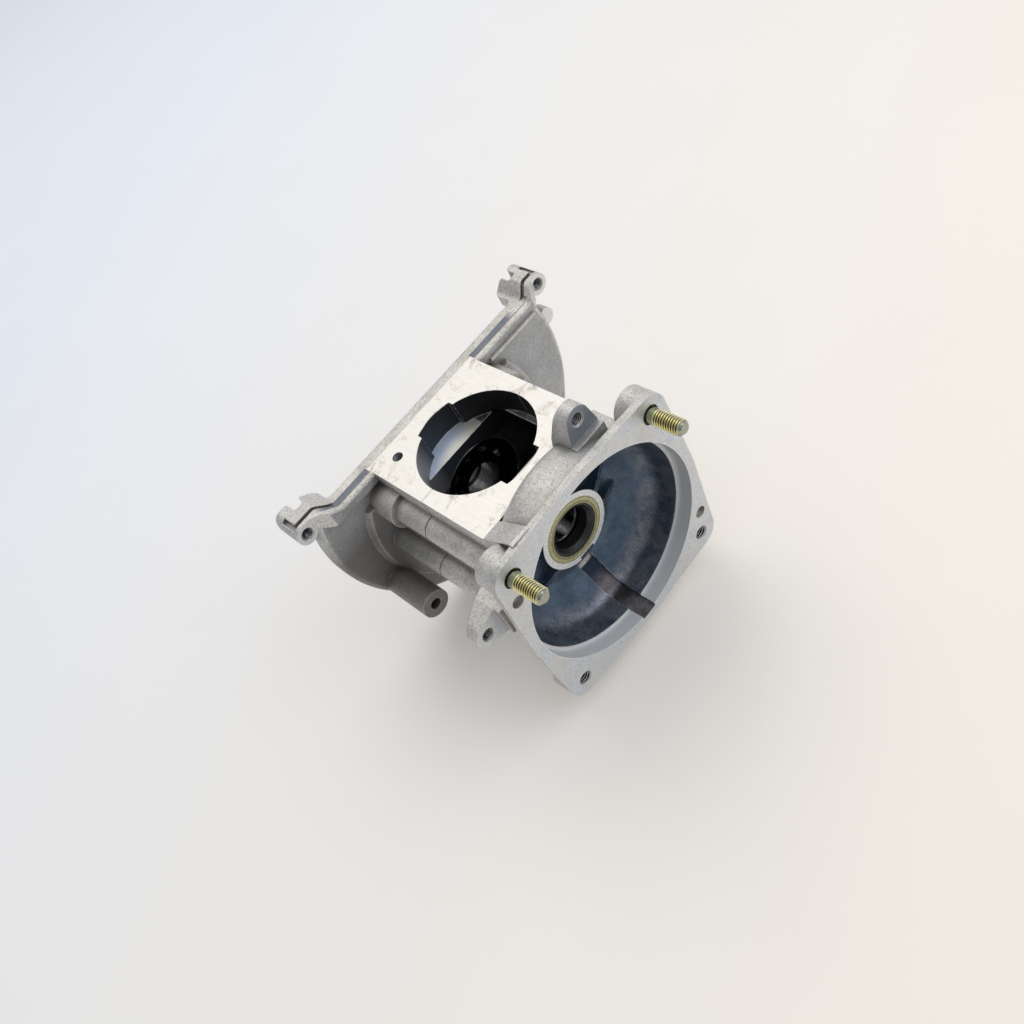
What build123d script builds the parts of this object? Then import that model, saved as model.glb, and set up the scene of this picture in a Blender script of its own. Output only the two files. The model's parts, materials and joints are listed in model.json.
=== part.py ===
"""Crankcase of a small single-cylinder two-stroke engine, split across the crank axis."""
import os
from math import cos, radians, sin

from build123d import *

# Frame in millimetres: the crank axis runs along Y and the cylinder axis along Z.
# Y = 0 is the parting plane, with the clutch side at negative Y and the fan side at positive Y.

# Stack along the crank axis
flange_to_parting = 53.0
chamber_width = 30.0
gasket_thickness = 0.5

# Ball bearings, 15 x 35 x 11
bearing_width = 11.0
bearing_outer_r = 17.5
bearing_bore_r = 7.5
ball_count = 8
ball_clearance = 0.06
ring_chamfer = 0.5
cage_wall = 0.7

# Shares of half the bearing's section that the ball, the gap between the rings and the cage take
ball_share = 0.5952
shoulder_share = 0.52
cage_share = 0.3

# Shaft seals, 15 x 26 x 7
seal_width = 7.0
seal_outer_r = 13.0
seal_case_wall = 0.9
seal_window_r = 10.4
seal_bore_clearance = 0.15
seal_lip_wall = 0.9
seal_spring_wire_r = 0.55
seal_lip_inset = 0.3

# Clutch flange
flange_circle_r = 44.0
stud_spacing = 70.0
corner_boss_r = 7.3
corner_boss_length = 9.5
flange_rim = 3.0
register_r = 40.0
register_depth = 6.4
plain_hole_r = 2.4
plain_hole_x = 38.2
plain_hole_z = 25.2

# Clutch bell
bell_mouth_r = 38.9
bell_waist_r = 38.0
bell_waist_depth = 16.7
bell_floor_depth = 26.0
bell_floor_r = 24.9
bell_wall = 3.0
bell_corner_r = 7.0
seal_boss_wall = 2.35
drain_width = 7.0
drain_depth = 1.6
rib_width = 2.0
rib_angles = (74.0, 103.0, 234.0)
rib_reach = 12.0
rib_drop = 4.5

# Body and deck
chamber_r = 30.0
chamber_wall = 3.5
deck_z = 33.2
deck_half_width = 28.9
deck_front = 32.0
deck_rear = 31.4
deck_side_bottom = 12.0
spigot_r = 23.0
spigot_depth = 11.2
transfer_half_width = 8.5
transfer_front_r = 25.7
transfer_rear_r = 25.0
cylinder_bolt_x = 19.2
cylinder_bolt_y = 23.9
cylinder_bolt_depth = 13.0
ramp_inner = 21.0
ramp_rise = 0.9
shelf_inner = 18.0
shelf_rise = 0.7

# Threads: radius over the thread, and of the tapping drill
m6_r = 3.0
m6_drill_r = 2.5
m5_r = 2.5
m5_drill_r = 2.1
thread_lead_in = 0.6

# Studs
stud_reach = 14.0
stud_seat_depth = 8.4
stud_neck_r = 2.65
stud_neck_length = 2.0
stud_point = 1.1
stud_hole_relief_r = 3.6
stud_hole_relief = 1.2

# Ears on the clutch half: direction from the crank axis, offset along the flange, hole height, seat height
ear_half_width = 6.8
ear_tip_r = 5.1
ear_face_depth = 10.5
ear_step = 2.6
ear_top_thickness = 5.0
ear_foot_depth = 22.6
ear_hole_depth = 9.0
top_ear_offset = 16.2
top_ear_height = 48.5
top_ear_seat = 41.5
side_ear_offset = 12.0
side_ear_height = 49.8
side_ear_seat = 43.4

# Screw tubes beside the chamber
upper_tube_x = 29.5
upper_tube_z = 18.8
upper_tube_r = 5.8
upper_collar_r = 7.9
upper_collar_start = 17.0
lower_tube_x = 34.5
lower_tube_z = 0.0
lower_tube_r = 5.3
screw_clearance = 0.3
screw_thread_length = 12.0
screw_tip_clearance = 1.5
screw_head_r = 4.25
screw_head_height = 5.0
screw_socket_r = 2.3
screw_socket_depth = 2.6
head_clearance = 0.35
upper_seat_depth = 3.0
dowel_outer_r = 3.6
dowel_length = 8.0
dowel_end_clearance = 0.3

# Fan plate
plate_front = 29.8
plate_disc_front = 27.3
plate_disc_r = 44.4
plate_disc_flare = 1.4
plate_disc_top = 21.0
plate_wall = 3.0
volute_x = 2.6
volute_z = 11.6
volute_r = 63.2
rim_rear = 36.2
rim_wall = 3.2
rim_corner_r = 2.5
rear_hub_r = 16.6
rear_hub_flare = 5.0

# Grooved rail along the plate's top edge, from the deck's sides out to the ears
rail_front = 27.0
rail_height = 4.8
rail_round = 1.3
rail_groove_start = 29.5
rail_groove_end = 32.6
rail_groove_depth = 1.8
ledge_out = 1.0
ledge_height = 1.2
ledge_inset = 4.5

# Ears at the rail's two ends, each hole beyond the end of the plate's top edge
rim_ear_left_out = 3.7
rim_ear_right_out = 6.8
rim_ear_rise = 0.2
rim_ear_boss_r = 4.4
rim_ear_front = 31.0
rim_ear_rear = 45.5
rim_ear_plate = 5.0
rim_ear_round = 3.0
rim_ear_corner_r = 1.6
rim_ear_hole_depth = 7.0
rim_ear_hole_end = 2.0
ear_groove_width = 1.8
ear_groove_y = 33.7
ear_groove_end = 41.0

# Slope from the rail up to each ear, from the hole: foot and head of the top line, shift of the lower line
left_ear_slope = (14.5, 8.0, 5.0)
right_ear_slope = (9.5, 4.5, 2.0)

# Notch and prong of each ear: notch width, notch start, inset of the notch from the hole, prong width and end
left_ear_fork = (4.4, 39.5, 5.6, 6.4, 43.6)
right_ear_fork = (3.6, 40.0, 3.4, 5.8, 45.5)

# Boss on the rim's right edge, and the side boss on the rim at the lower left
rim_boss_out = 0.6
rim_boss_z = 18.6
rim_boss_r = 3.6
side_boss_inset = 6.0
side_boss_angle = 30.4
side_boss_r = 6.0
side_boss_front = 8.0
side_boss_hole_r = 2.4

# Values that follow from the sizes above
FLANGE_Y = -flange_to_parting
CORNER = stud_spacing / 2
FRONT_BEARING_Y = -chamber_width / 2 - bearing_width
REAR_BEARING_Y = chamber_width / 2
FRONT_SEAL_Y = FRONT_BEARING_Y - seal_width
REAR_SEAL_Y = REAR_BEARING_Y + bearing_width
BODY_R = chamber_r + chamber_wall
BELL_FLOOR_Y = FLANGE_Y + bell_floor_depth
SEAL_BOSS_R = seal_outer_r + seal_boss_wall
SPIGOT_Z = deck_z - spigot_depth
CASE_GAP = gasket_thickness / 2
HALF_SECTION = (bearing_outer_r - bearing_bore_r) / 2
BALL_PITCH_R = bearing_bore_r + HALF_SECTION
BALL_R = ball_share * HALF_SECTION
OUTER_RACE_R = BALL_PITCH_R + shoulder_share * HALF_SECTION
INNER_RACE_R = BALL_PITCH_R - shoulder_share * HALF_SECTION
CAGE_BAND = cage_share * HALF_SECTION
UPPER_SEAT_Y = upper_collar_start + upper_seat_depth
PLATE_REAR = plate_front + plate_wall
RAIL_HALF = (volute_r ** 2 - (deck_z - volute_z) ** 2) ** 0.5
RIM_EAR_LEFT_X = volute_x - RAIL_HALF - rim_ear_left_out
RIM_EAR_RIGHT_X = volute_x + RAIL_HALF + rim_ear_right_out
RIM_EAR_Z = deck_z + rim_ear_rise
RIM_BOSS_X = volute_x + (volute_r ** 2 - (rim_boss_z - volute_z) ** 2) ** 0.5 + rim_boss_out
SIDE_BOSS_X = volute_x - (volute_r - side_boss_inset) * cos(radians(side_boss_angle))
SIDE_BOSS_Z = volute_z - (volute_r - side_boss_inset) * sin(radians(side_boss_angle))
SCREW_HOLE_R = m5_r + screw_clearance
OVERRUN = 1.0


def rod_y(radius, start, end, x=0.0, z=0.0):
    """Round bar along Y."""
    return Pos(x, (start + end) / 2, z) * Rot(90, 0, 0) * Cylinder(radius, abs(end - start))


def rod_z(radius, start, end, x=0.0, y=0.0):
    """Round bar along Z."""
    return Pos(x, y, (start + end) / 2) * Cylinder(radius, abs(end - start))


def slab_y(outline, start, end):
    """Outline drawn in X and Z, made solid from one Y to a larger one."""
    return extrude(Plane.XZ.offset(-end) * outline, amount=end - start)


def slab_x(outline, start, end):
    """Outline drawn in Y and Z, made solid from one X to a larger one."""
    return extrude(Plane.YZ.offset(start) * outline, amount=end - start)


def block(x0, x1, y0, y1, z0, z1):
    """Rectangular block between opposite corners."""
    return Pos((x0 + x1) / 2, (y0 + y1) / 2, (z0 + z1) / 2) * Box(x1 - x0, y1 - y0, z1 - z0)


def turned(*corners):
    """Solid turned about the crank axis from corners of radius, Y and corner rounding."""
    points = [(corner[0], corner[1]) for corner in corners]
    rounding = [corner[2] if len(corner) > 2 else 0.0 for corner in corners]
    outline = make_face(FilletPolyline(*points, radius=rounding, close=True))
    return revolve(outline, axis=Axis.Y)


def ring(inner, outer, start, end):
    """Plain ring about the crank axis."""
    return turned((inner, start), (outer, start), (outer, end), (inner, end))


def drilled_y(radius, start, end, x, z, lead_in):
    """Cutter for a drilled hole along Y with a chamfered mouth at its start."""
    step = lead_in if end > start else -lead_in
    mouth = Pos(x, start + step / 2, z) * Rot(-90 if end > start else 90, 0, 0)
    return rod_y(radius, start, end, x, z) + mouth * Cone(radius + lead_in, radius, lead_in)


def flange_outline():
    """Flange face: a circle with four corner lobes."""
    circles = Circle(flange_circle_r).edges()
    for side_x in (-CORNER, CORNER):
        for side_z in (-CORNER, CORNER):
            circles += (Pos(side_x, side_z) * Circle(corner_boss_r)).edges()
    return make_hull(circles)


def bell_shell():
    """Outside of the clutch bell, as a solid of revolution running into the chamber body."""
    shoulder_r = bell_waist_r + bell_wall
    shoulder_y = FLANGE_Y + bell_waist_depth + bell_wall / 2
    back_y = BELL_FLOOR_Y - bell_wall / 2
    return turned(
        (0.0, FLANGE_Y),
        (bell_mouth_r + bell_wall + 1.0, FLANGE_Y),
        (shoulder_r, shoulder_y, bell_corner_r),
        (BODY_R, back_y),
        (BODY_R, -CASE_GAP),
        (0.0, -CASE_GAP),
    )


def bell_hollow():
    """Inside of the clutch bell with its register, and the seal boss left standing."""
    register_end = FLANGE_Y + register_depth
    return turned(
        (SEAL_BOSS_R, BELL_FLOOR_Y),
        (bell_floor_r, BELL_FLOOR_Y, bell_corner_r),
        (bell_waist_r, FLANGE_Y + bell_waist_depth, bell_corner_r),
        (bell_mouth_r, register_end),
        (register_r, register_end),
        (register_r, FLANGE_Y),
        (0.0, FLANGE_Y),
        (0.0, FRONT_SEAL_Y),
        (SEAL_BOSS_R, FRONT_SEAL_Y),
    )


def bell_ribs():
    """Low ribs from the seal boss out to the bell's floor."""
    boss_r = SEAL_BOSS_R - seal_boss_wall / 2
    foot_r = boss_r + rib_reach
    side = make_face(Polyline(
        (FRONT_SEAL_Y, boss_r),
        (BELL_FLOOR_Y + 1.0, boss_r),
        (BELL_FLOOR_Y + 1.0, foot_r),
        (FRONT_SEAL_Y + rib_drop, foot_r),
        close=True,
    ))
    rib = slab_x(side, -rib_width / 2, rib_width / 2)
    return [Rot(0, angle, 0) * rib for angle in rib_angles]


def drain_path(depth, width):
    """Stretch of the bell's bottom wall, from the register to the seal boss, sunk by a depth."""
    path = turned(
        (SEAL_BOSS_R + rib_width, BELL_FLOOR_Y + depth),
        (bell_floor_r, BELL_FLOOR_Y + depth, bell_corner_r),
        (bell_waist_r + depth, FLANGE_Y + bell_waist_depth, bell_corner_r),
        (register_r + depth, FLANGE_Y),
        (SEAL_BOSS_R + rib_width, FLANGE_Y),
    )
    return path & block(-width / 2, width / 2, FLANGE_Y, BELL_FLOOR_Y + depth, -flange_circle_r, 0.0)


def ear(offset, height, seat, turn):
    """Mounting ear behind the flange, its tapped hole facing forward."""
    face_y = FLANGE_Y + ear_face_depth
    foot_y = FLANGE_Y + ear_foot_depth
    base = BODY_R - chamber_wall / 2
    top = height + ear_tip_r
    foot_shape = Pos(offset, (base + seat) / 2) * Rectangle(2 * ear_half_width, seat - base)
    front_shape = make_hull((Pos(offset, height) * Circle(ear_tip_r)).edges() + foot_shape.edges())
    side_shape = make_face(Polyline(
        (face_y, base),
        (face_y, top),
        (face_y + ear_top_thickness, top),
        (foot_y, deck_z),
        (foot_y, base),
        close=True,
    ))
    left, right = offset - ear_half_width, offset + ear_half_width
    lug = slab_y(front_shape, face_y, foot_y) & slab_x(side_shape, left, right)
    web = block(left, right, face_y - ear_step, face_y, base, seat)
    hole = drilled_y(m5_drill_r, face_y, face_y + ear_hole_depth, offset, height, thread_lead_in)
    turned_to = Rot(0, turn, 0)
    return turned_to * (lug + web), turned_to * hole


def deck_ramps():
    """Ramp that rises from the deck to the flange on the left, and the level shelf on the right."""
    side = make_face(Polyline(
        (FLANGE_Y + flange_rim / 2, deck_side_bottom),
        (FLANGE_Y + flange_rim / 2, CORNER + corner_boss_r + ramp_rise),
        (FLANGE_Y + flange_rim, CORNER + corner_boss_r + ramp_rise),
        (-deck_front, deck_z),
        (-deck_front, deck_side_bottom),
        close=True,
    ))
    ramp = slab_x(side, -deck_half_width, -ramp_inner)
    shelf = block(shelf_inner, deck_half_width, FLANGE_Y + flange_rim / 2, -deck_front,
                  deck_side_bottom, deck_z + shelf_rise)
    return ramp + shelf


def screw_places():
    """Places of the four case screws in X and Z, with the Y of the seat under each head."""
    return {
        "upper_left": (-upper_tube_x, upper_tube_z, UPPER_SEAT_Y),
        "upper_right": (upper_tube_x, upper_tube_z, UPPER_SEAT_Y),
        "lower_left": (-lower_tube_x, lower_tube_z, PLATE_REAR),
        "lower_right": (lower_tube_x, lower_tube_z, PLATE_REAR),
    }


def dowel_places():
    """The screws that run through a hollow dowel."""
    return {"left": "upper_left", "right": "lower_right"}


def tubes(start, end):
    """Tubes round the four case screws over a stretch of Y."""
    shapes = []
    for side in (-1, 1):
        shapes.append(rod_y(upper_tube_r, start, end, side * upper_tube_x, upper_tube_z))
        shapes.append(rod_y(lower_tube_r, start, end, side * lower_tube_x, lower_tube_z))
        low = min(lower_tube_z, 0.0) - lower_tube_r / 2
        web_x = sorted((side * (chamber_r + chamber_wall / 2), side * lower_tube_x))
        shapes.append(block(web_x[0], web_x[1], start, end, low, lower_tube_z + lower_tube_r / 2))
    return shapes


def deck_block(start, end):
    """Milled deck with straight sides over a stretch of Y."""
    return block(-deck_half_width, deck_half_width, start, end, deck_side_bottom, deck_z)


def chamber_and_spigot():
    """Cutter for the crank chamber, the cylinder spigot and its transfer passages."""
    half = chamber_width / 2
    cutter = rod_y(chamber_r, -half, half)
    cutter += rod_z(spigot_r, SPIGOT_Z, deck_z + OVERRUN)
    for reach, side in ((transfer_front_r, -1), (transfer_rear_r, 1)):
        passage = rod_z(reach, SPIGOT_Z, deck_z + OVERRUN)
        window = block(-transfer_half_width, transfer_half_width, min(0, side * reach), max(0, side * reach),
                       SPIGOT_Z, deck_z + OVERRUN)
        cutter += passage & window
    throat = spigot_r ** 2 - half ** 2
    cutter += block(-throat ** 0.5, throat ** 0.5, -half, half, 0.0, SPIGOT_Z)
    return cutter


def case_holes():
    """Cutters for the four case screws and the two hollow dowels, for both halves."""
    cutters = []
    for x, z, seat_y in screw_places().values():
        thread_start = -screw_thread_length - m5_r
        cutters.append(rod_y(m5_r, thread_start - screw_tip_clearance, -m5_r, x, z))
        cutters.append(rod_y(SCREW_HOLE_R, -m5_r, seat_y + OVERRUN, x, z))
        cutters.append(rod_y(screw_head_r + head_clearance, seat_y, rim_rear + OVERRUN, x, z))
    for name in dowel_places().values():
        x, z, seat_y = screw_places()[name]
        reach = dowel_length / 2 + dowel_end_clearance
        cutters.append(rod_y(dowel_outer_r, -reach, reach, x, z))
    return cutters


def clutch_side_case():
    """Front half: clutch bell, flange, ears and the front of the deck."""
    top_ear, top_hole = ear(top_ear_offset, top_ear_height, top_ear_seat, 0)
    side_ear, side_hole = ear(side_ear_offset, side_ear_height, side_ear_seat, -90)
    corners = [(side_x, side_z) for side_x in (-CORNER, CORNER) for side_z in (-CORNER, CORNER)]
    boss_end = FLANGE_Y + corner_boss_length
    body = bell_shell() + [
        slab_y(flange_outline(), FLANGE_Y, FLANGE_Y + flange_rim),
        deck_block(-deck_front, -CASE_GAP),
        deck_ramps(),
        top_ear,
        side_ear,
        drain_path(drain_depth + bell_wall, drain_width + 2 * bell_wall),
        *[rod_y(corner_boss_r, FLANGE_Y, boss_end, x, z) for x, z in corners],
        *tubes(BELL_FLOOR_Y - bell_wall, -CASE_GAP),
    ]
    body -= bell_hollow()
    body += bell_ribs()
    holes = [
        drain_path(drain_depth, drain_width),
        rod_y(seal_outer_r, FRONT_SEAL_Y - OVERRUN, FRONT_BEARING_Y),
        rod_y(bearing_outer_r, FRONT_BEARING_Y, 0.0),
        chamber_and_spigot(),
        top_hole,
        side_hole,
        rod_z(m5_drill_r, deck_z - cylinder_bolt_depth, deck_z + OVERRUN, cylinder_bolt_x, -cylinder_bolt_y),
    ]
    for side in (-1, 1):
        x = side * CORNER
        holes.append(rod_y(m6_r, FLANGE_Y, FLANGE_Y + stud_seat_depth, x, CORNER))
        holes.append(rod_y(stud_hole_relief_r, FLANGE_Y, FLANGE_Y + stud_hole_relief, x, CORNER))
        holes.append(drilled_y(m6_drill_r, FLANGE_Y, boss_end, x, -CORNER, thread_lead_in))
        holes.append(rod_y(plain_hole_r, FLANGE_Y, boss_end, side * plain_hole_x, -side * plain_hole_z))
    return body - holes - case_holes()


def volute_outline(inset=0.0):
    """Fan plate outline: a circle cut off level with the deck."""
    disc = Pos(volute_x, volute_z) * Circle(volute_r - inset)
    keep_height = deck_z - inset - volute_z + volute_r
    keep = Pos(volute_x, deck_z - inset - keep_height / 2) * Rectangle(2 * volute_r, keep_height)
    return disc & keep


def fan_plate():
    """Dished fan plate with its rim and the raised disc round the body."""
    plate = slab_y(volute_outline(), plate_front, rim_rear)
    plate = fillet(plate.faces().sort_by(Axis.Y)[0].edges().filter_by(GeomType.CIRCLE), rim_corner_r)
    disc = turned(
        (0.0, plate_disc_front),
        (plate_disc_r, plate_disc_front),
        (plate_disc_r + plate_disc_flare, plate_front),
        (plate_disc_r + plate_disc_flare, PLATE_REAR),
        (0.0, PLATE_REAR),
    )
    low = -plate_disc_r - plate_disc_flare
    plate += disc & block(low, -low, plate_disc_front, PLATE_REAR, low, plate_disc_top)
    return plate - slab_y(volute_outline(rim_wall), PLATE_REAR, rim_rear + OVERRUN)


def ear_line(x, side, slope, drop, reach):
    """Top line in X and Z from under the deck out along the rail and up to its ear, lowered by a drop."""
    foot, head, shift = slope
    return [
        (side * (deck_half_width - rail_height), deck_z - drop),
        (x - side * foot, deck_z - drop),
        (x - side * head, RIM_EAR_Z + rim_ear_boss_r - drop),
        (x + side * reach, RIM_EAR_Z + rim_ear_boss_r - drop),
    ]


def ear_front_view(x, side, slope):
    """Rail and ear seen from the front, up to the hole."""
    foot, head, shift = slope
    top_line = ear_line(x, side, slope, 0.0, 0.0)
    low = RIM_EAR_Z + rim_ear_boss_r - rim_ear_plate
    points = top_line + [
        (x, low),
        (x - side * (head - shift), low),
        (x - side * (foot - shift), deck_z - rail_height),
        (top_line[0][0], deck_z - rail_height),
    ]
    rounding = [0, rim_ear_round, rim_ear_round, 0, 0, rim_ear_round / 2, rim_ear_round, 0]
    return make_face(FilletPolyline(*points, radius=rounding, close=True))


def ear_plan(x, side, slope, fork):
    """Rail and ear seen from above, with the notch and the prong open to the rear."""
    foot, head, shift = slope
    notch_width, notch_start, notch_inset, prong_width, prong_end = fork
    root_x = side * (deck_half_width - rail_height)
    outer_x = x + side * rim_ear_boss_r
    notch_inner = x - side * (notch_inset + notch_width / 2)
    notch_outer = x - side * (notch_inset - notch_width / 2)
    prong_x = notch_inner - side * prong_width
    corners = [
        (root_x, rail_front, 0),
        (x - side * (foot - shift), rail_front, rim_ear_corner_r),
        (x - side * (head - shift), rim_ear_front, rim_ear_corner_r),
        (outer_x, rim_ear_front, rim_ear_corner_r),
        (outer_x, rim_ear_rear, 1.5 * rim_ear_corner_r),
        (notch_outer, rim_ear_rear, rim_ear_corner_r),
        (notch_outer, notch_start, notch_width / 3),
        (notch_inner, notch_start, notch_width / 3),
        (notch_inner, prong_end, rim_ear_corner_r),
        (prong_x, prong_end, 1.5 * rim_ear_corner_r),
        (prong_x, rim_rear, 1.5 * rim_ear_corner_r),
        (root_x, rim_rear, 0),
    ]
    points = [corner[:2] for corner in corners]
    return make_face(FilletPolyline(*points, radius=[corner[2] for corner in corners], close=True))


def rail_groove(x, side, slope):
    """Cutter for the groove that follows the rail and then, narrower, the ear's top."""
    foot, head, shift = slope
    middle = (rail_groove_start + rail_groove_end) / 2
    start_x, turn_x = side * (deck_half_width + 1.0), x - side * (foot - ear_groove_width)
    last_x = x + side * ear_groove_width
    width = rail_groove_end - rail_groove_start
    wide = Pos((start_x + turn_x) / 2, middle) * Rectangle(abs(turn_x - start_x), width)
    path = Polyline(
        (turn_x - side * ear_groove_width, middle),
        (x - side * (head - ear_groove_width / 2), ear_groove_y),
        (last_x, ear_groove_y),
        (last_x, ear_groove_end),
    )
    lines = ear_line(x, side, slope, rail_groove_depth, rim_ear_boss_r + OVERRUN)
    high = RIM_EAR_Z + 2 * rim_ear_boss_r
    lines += [(lines[-1][0], high), (lines[0][0], high)]
    above = slab_y(make_face(Polyline(*lines, close=True)), rail_front, rim_ear_rear)
    plan = Pos(0, 0, deck_z - rail_height) * (wide + trace(path, ear_groove_width))
    return above & extrude(plan, amount=high)


def rail_ear(x, side, slope, fork):
    """Rail on one side of the deck with its ear and the tapped hole that faces forward."""
    pad = slab_y(ear_front_view(x, side, slope), rail_front, rim_ear_rear)
    line_at = deck_z - rail_round
    front_edges = pad.faces().sort_by(Axis.Y)[0].edges()
    pad = fillet([edge for edge in front_edges if min((edge @ 0).Z, (edge @ 1).Z) > line_at], rail_round)
    pad += rod_y(rim_ear_boss_r, rim_ear_front, rim_ear_rear, x, RIM_EAR_Z)
    plan = ear_plan(x, side, slope, fork)
    pad &= extrude(Pos(0, 0, deck_z - rail_height) * plan, amount=rim_ear_rear)
    hole_end = rim_ear_front + rim_ear_hole_depth
    pad += rod_y(rim_ear_boss_r, rim_ear_front, hole_end + rim_ear_hole_end, x, RIM_EAR_Z)
    pad -= rail_groove(x, side, slope)
    return pad, drilled_y(m5_drill_r, rim_ear_front, hole_end, x, RIM_EAR_Z, thread_lead_in)


def fan_side_case():
    """Rear half: the back of the deck, the screw tubes, the fan plate and its ears."""
    left_ear, left_hole = rail_ear(RIM_EAR_LEFT_X, -1, left_ear_slope, left_ear_fork)
    right_ear, right_hole = rail_ear(RIM_EAR_RIGHT_X, 1, right_ear_slope, right_ear_fork)
    ledge_foot = deck_z - rail_height
    hub_end = REAR_SEAL_Y + seal_width
    hub = turned(
        (0.0, plate_front),
        (rear_hub_r + rear_hub_flare, plate_front),
        (rear_hub_r, hub_end),
        (0.0, hub_end),
    )
    body = fan_plate() + [
        rod_y(BODY_R, CASE_GAP, PLATE_REAR),
        deck_block(CASE_GAP, deck_rear),
        hub,
        left_ear,
        right_ear,
        block(deck_half_width + ledge_inset, RIM_EAR_RIGHT_X - right_ear_slope[0], rail_front - ledge_out,
              plate_front, ledge_foot, ledge_foot + ledge_height),
        rod_y(rim_boss_r, rim_ear_front, rim_rear, RIM_BOSS_X, rim_boss_z),
        rod_y(side_boss_r, side_boss_front, PLATE_REAR, SIDE_BOSS_X, SIDE_BOSS_Z),
        rod_y(upper_collar_r, upper_collar_start, PLATE_REAR, -upper_tube_x, upper_tube_z),
        rod_y(upper_collar_r, upper_collar_start, PLATE_REAR, upper_tube_x, upper_tube_z),
        *tubes(CASE_GAP, PLATE_REAR),
    ]
    holes = [
        rod_y(bearing_outer_r, 0.0, REAR_SEAL_Y),
        rod_y(seal_outer_r, REAR_SEAL_Y, hub_end),
        chamber_and_spigot(),
        left_hole,
        right_hole,
        rod_y(side_boss_hole_r, side_boss_front, PLATE_REAR, SIDE_BOSS_X, SIDE_BOSS_Z),
        rod_z(m5_drill_r, deck_z - cylinder_bolt_depth, deck_z + OVERRUN, -cylinder_bolt_x, cylinder_bolt_y),
    ]
    return body - holes - case_holes()


def case_gasket():
    """Paper gasket in the parting plane, cut to the walls of the halves."""
    blank = deck_block(-CASE_GAP, CASE_GAP) + rod_y(BODY_R, -CASE_GAP, CASE_GAP)
    blank += tubes(-CASE_GAP, CASE_GAP)
    return blank - [chamber_and_spigot(), *case_holes()]


def race_groove():
    """Ring-shaped space that the balls run in, with its clearance."""
    return Rot(90, 0, 0) * Torus(BALL_PITCH_R, BALL_R + ball_clearance)


def bearing_outer_ring():
    """Outer ring about the crank axis, centred on Y = 0."""
    half = bearing_width / 2
    body = turned(
        (OUTER_RACE_R, -half),
        (bearing_outer_r - ring_chamfer, -half),
        (bearing_outer_r, ring_chamfer - half),
        (bearing_outer_r, half - ring_chamfer),
        (bearing_outer_r - ring_chamfer, half),
        (OUTER_RACE_R, half),
    )
    return body - race_groove()


def bearing_inner_ring():
    """Inner ring about the crank axis, centred on Y = 0."""
    half = bearing_width / 2
    body = turned(
        (bearing_bore_r + ring_chamfer, -half),
        (INNER_RACE_R, -half),
        (INNER_RACE_R, half),
        (bearing_bore_r + ring_chamfer, half),
        (bearing_bore_r, half - ring_chamfer),
        (bearing_bore_r, ring_chamfer - half),
    )
    return body - race_groove()


def ball_places():
    """Centres of the balls round the crank axis."""
    turns = [radians(360 * index / ball_count) for index in range(ball_count)]
    return [(BALL_PITCH_R * sin(turn), BALL_PITCH_R * cos(turn)) for turn in turns]


def bearing_balls():
    """The balls, as separate solids."""
    return Compound(children=[Pos(x, 0, z) * Sphere(BALL_R) for x, z in ball_places()])


def bearing_cage():
    """Pressed ribbon cage: a band that bulges round each ball."""
    pocket_r = BALL_R + ball_clearance
    inner, outer = BALL_PITCH_R - CAGE_BAND, BALL_PITCH_R + CAGE_BAND
    upright = Rot(90, 0, 0)
    bulges = [Pos(x, 0, z) * upright * Sphere(pocket_r + cage_wall) for x, z in ball_places()]
    pockets = [Pos(x, 0, z) * upright * Sphere(pocket_r) for x, z in ball_places()]
    band = ring(inner, outer, -cage_wall, cage_wall)
    walls = ring(inner, outer, -bearing_width / 2, bearing_width / 2)
    return band + [walls & bulge for bulge in bulges] - pockets


def seal_case():
    """Pressed metal case of a shaft seal, its window facing negative Y, from Y = 0 inward."""
    return turned(
        (seal_window_r, 0.0),
        (seal_outer_r, 0.0),
        (seal_outer_r, seal_width),
        (seal_outer_r - seal_case_wall, seal_width),
        (seal_outer_r - seal_case_wall, seal_case_wall),
        (seal_window_r, seal_case_wall),
    )


def lip_r():
    """Inner radius of the seal lip, just clear of the shaft."""
    return bearing_bore_r + seal_bore_clearance


def spring_r():
    """Radius of the garter spring's centre line."""
    return lip_r() + seal_lip_wall + seal_spring_wire_r


def spring_y():
    """Place of the garter spring along the seal."""
    return seal_width - seal_lip_inset - 2 * seal_spring_wire_r


def seal_lip():
    """Rubber lip held by the case, with a groove for the garter spring."""
    root = seal_outer_r - seal_case_wall
    body = turned(
        (seal_window_r - seal_lip_wall, seal_lip_inset),
        (seal_window_r, seal_lip_inset),
        (seal_window_r, seal_case_wall),
        (root, seal_case_wall),
        (root, 2 * seal_case_wall),
        (spring_r(), 2 * seal_case_wall),
        (spring_r(), seal_width - seal_lip_inset),
        (lip_r() + seal_lip_wall, seal_width - seal_lip_inset),
        (lip_r(), spring_y()),
        (lip_r() + seal_lip_wall / 2, 2 * seal_case_wall),
    )
    return body - seal_spring()


def seal_spring():
    """Garter spring round the lip."""
    return Pos(0, spring_y(), 0) * Rot(90, 0, 0) * Torus(spring_r(), seal_spring_wire_r)


def stud():
    """Flange stud along Y, its outer end at negative Y and the flange face at Y = 0."""
    return turned(
        (0.0, -stud_reach),
        (m6_r - stud_point, -stud_reach),
        (m6_r, stud_point - stud_reach),
        (m6_r, -stud_neck_length),
        (stud_neck_r, -stud_neck_length),
        (stud_neck_r, stud_hole_relief),
        (m6_r, stud_hole_relief),
        (m6_r, stud_seat_depth),
        (0.0, stud_seat_depth),
    )


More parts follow.
